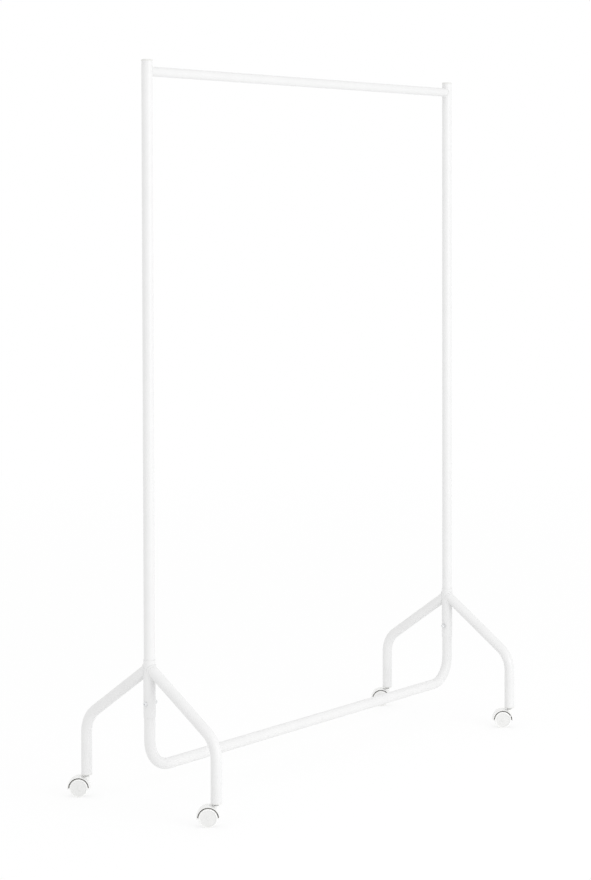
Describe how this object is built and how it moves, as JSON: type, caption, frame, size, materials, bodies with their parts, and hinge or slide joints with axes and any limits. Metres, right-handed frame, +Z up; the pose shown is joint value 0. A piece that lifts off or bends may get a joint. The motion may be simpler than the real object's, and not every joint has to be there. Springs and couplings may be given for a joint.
{
  "type": "rolling clothes rack",
  "caption": "Free-standing tube-frame clothes rack: a hanging rail between uprights, splayed bent legs at each end, a low base tube and hooded twin-wheel casters.",
  "frame": {"origin": "on the floor, midway between the four feet and below the middle of the rail", "axes": "+X along the rail to the right, +Y to the back, +Z up"},
  "size_m": [1.2317, 0.4584, 1.701],
  "materials": {
    "powder_coat": "satin white powder coat on steel tube",
    "cap_plastic": "moulded white polyethylene",
    "hood_plastic": "moulded white nylon, slightly glossy",
    "wheel_plastic": "moulded pale nylon",
    "zinc_steel": "bright zinc plate"
  },
  "bodies": {
    "rack": {"hanging_rail": "powder_coat", "base_frame": "powder_coat", "upright_left": "powder_coat", "upright_cap_left": "cap_plastic", "leg_sleeve_left": "powder_coat", "cross_bolt_left": "zinc_steel", "dome_nut_left": "zinc_steel", "leg_front_left": "powder_coat", "foot_plug_front_left": "cap_plastic", "caster_stem_front_left": "zinc_steel", "caster_clip_front_left": "zinc_steel", "leg_back_left": "powder_coat", "foot_plug_back_left": "cap_plastic", "caster_stem_back_left": "zinc_steel", "caster_clip_back_left": "zinc_steel", "upright_right": "powder_coat", "upright_cap_right": "cap_plastic", "leg_sleeve_right": "powder_coat", "cross_bolt_right": "zinc_steel", "dome_nut_right": "zinc_steel", "leg_front_right": "powder_coat", "foot_plug_front_right": "cap_plastic", "caster_stem_front_right": "zinc_steel", "caster_clip_front_right": "zinc_steel", "leg_back_right": "powder_coat", "foot_plug_back_right": "cap_plastic", "caster_stem_back_right": "zinc_steel", "caster_clip_back_right": "zinc_steel"},
    "caster_front_left": {"caster_hood_front_left": "hood_plastic", "caster_axle_front_left": "zinc_steel"},
    "wheel_front_left_a": {"caster_wheel_front_left_a": "wheel_plastic"},
    "wheel_front_left_b": {"caster_wheel_front_left_b": "wheel_plastic"},
    "caster_back_left": {"caster_hood_back_left": "hood_plastic", "caster_axle_back_left": "zinc_steel"},
    "wheel_back_left_a": {"caster_wheel_back_left_a": "wheel_plastic"},
    "wheel_back_left_b": {"caster_wheel_back_left_b": "wheel_plastic"},
    "caster_front_right": {"caster_hood_front_right": "hood_plastic", "caster_axle_front_right": "zinc_steel"},
    "wheel_front_right_a": {"caster_wheel_front_right_a": "wheel_plastic"},
    "wheel_front_right_b": {"caster_wheel_front_right_b": "wheel_plastic"},
    "caster_back_right": {"caster_hood_back_right": "hood_plastic", "caster_axle_back_right": "zinc_steel"},
    "wheel_back_right_a": {"caster_wheel_back_right_a": "wheel_plastic"},
    "wheel_back_right_b": {"caster_wheel_back_right_b": "wheel_plastic"}
  },
  "joints": [
    {"name": "swivel_front_left", "type": "hinge", "parent": "rack", "child": "caster_front_left", "pos_m": [-0.5875, -0.1995, 0.04], "axis": [0, 0, 1], "continuous": true},
    {"name": "spin_front_left_a", "type": "hinge", "parent": "caster_front_left", "child": "wheel_front_left_a", "pos_m": [-0.5988, -0.18549, 0.0215], "axis": [0.7782, 0.628, 0], "continuous": true},
    {"name": "spin_front_left_b", "type": "hinge", "parent": "caster_front_left", "child": "wheel_front_left_b", "pos_m": [-0.5988, -0.18549, 0.0215], "axis": [0.7782, 0.628, 0], "continuous": true},
    {"name": "swivel_back_left", "type": "hinge", "parent": "rack", "child": "caster_back_left", "pos_m": [-0.5875, 0.1995, 0.04], "axis": [0, 0, 1], "continuous": true},
    {"name": "spin_back_left_a", "type": "hinge", "parent": "caster_back_left", "child": "wheel_back_left_a", "pos_m": [-0.5988, 0.21351, 0.0215], "axis": [0.7782, 0.628, 0], "continuous": true},
    {"name": "spin_back_left_b", "type": "hinge", "parent": "caster_back_left", "child": "wheel_back_left_b", "pos_m": [-0.5988, 0.21351, 0.0215], "axis": [0.7782, 0.628, 0], "continuous": true},
    {"name": "swivel_front_right", "type": "hinge", "parent": "rack", "child": "caster_front_right", "pos_m": [0.5875, -0.1995, 0.04], "axis": [0, 0, 1], "continuous": true},
    {"name": "spin_front_right_a", "type": "hinge", "parent": "caster_front_right", "child": "wheel_front_right_a", "pos_m": [0.5762, -0.18549, 0.0215], "axis": [0.7782, 0.628, 0], "continuous": true},
    {"name": "spin_front_right_b", "type": "hinge", "parent": "caster_front_right", "child": "wheel_front_right_b", "pos_m": [0.5762, -0.18549, 0.0215], "axis": [0.7782, 0.628, 0], "continuous": true},
    {"name": "swivel_back_right", "type": "hinge", "parent": "rack", "child": "caster_back_right", "pos_m": [0.5875, 0.1995, 0.04], "axis": [0, 0, 1], "continuous": true},
    {"name": "spin_back_right_a", "type": "hinge", "parent": "caster_back_right", "child": "wheel_back_right_a", "pos_m": [0.5762, 0.21351, 0.0215], "axis": [0.7782, 0.628, 0], "continuous": true},
    {"name": "spin_back_right_b", "type": "hinge", "parent": "caster_back_right", "child": "wheel_back_right_b", "pos_m": [0.5762, 0.21351, 0.0215], "axis": [0.7782, 0.628, 0], "continuous": true}
  ]
}
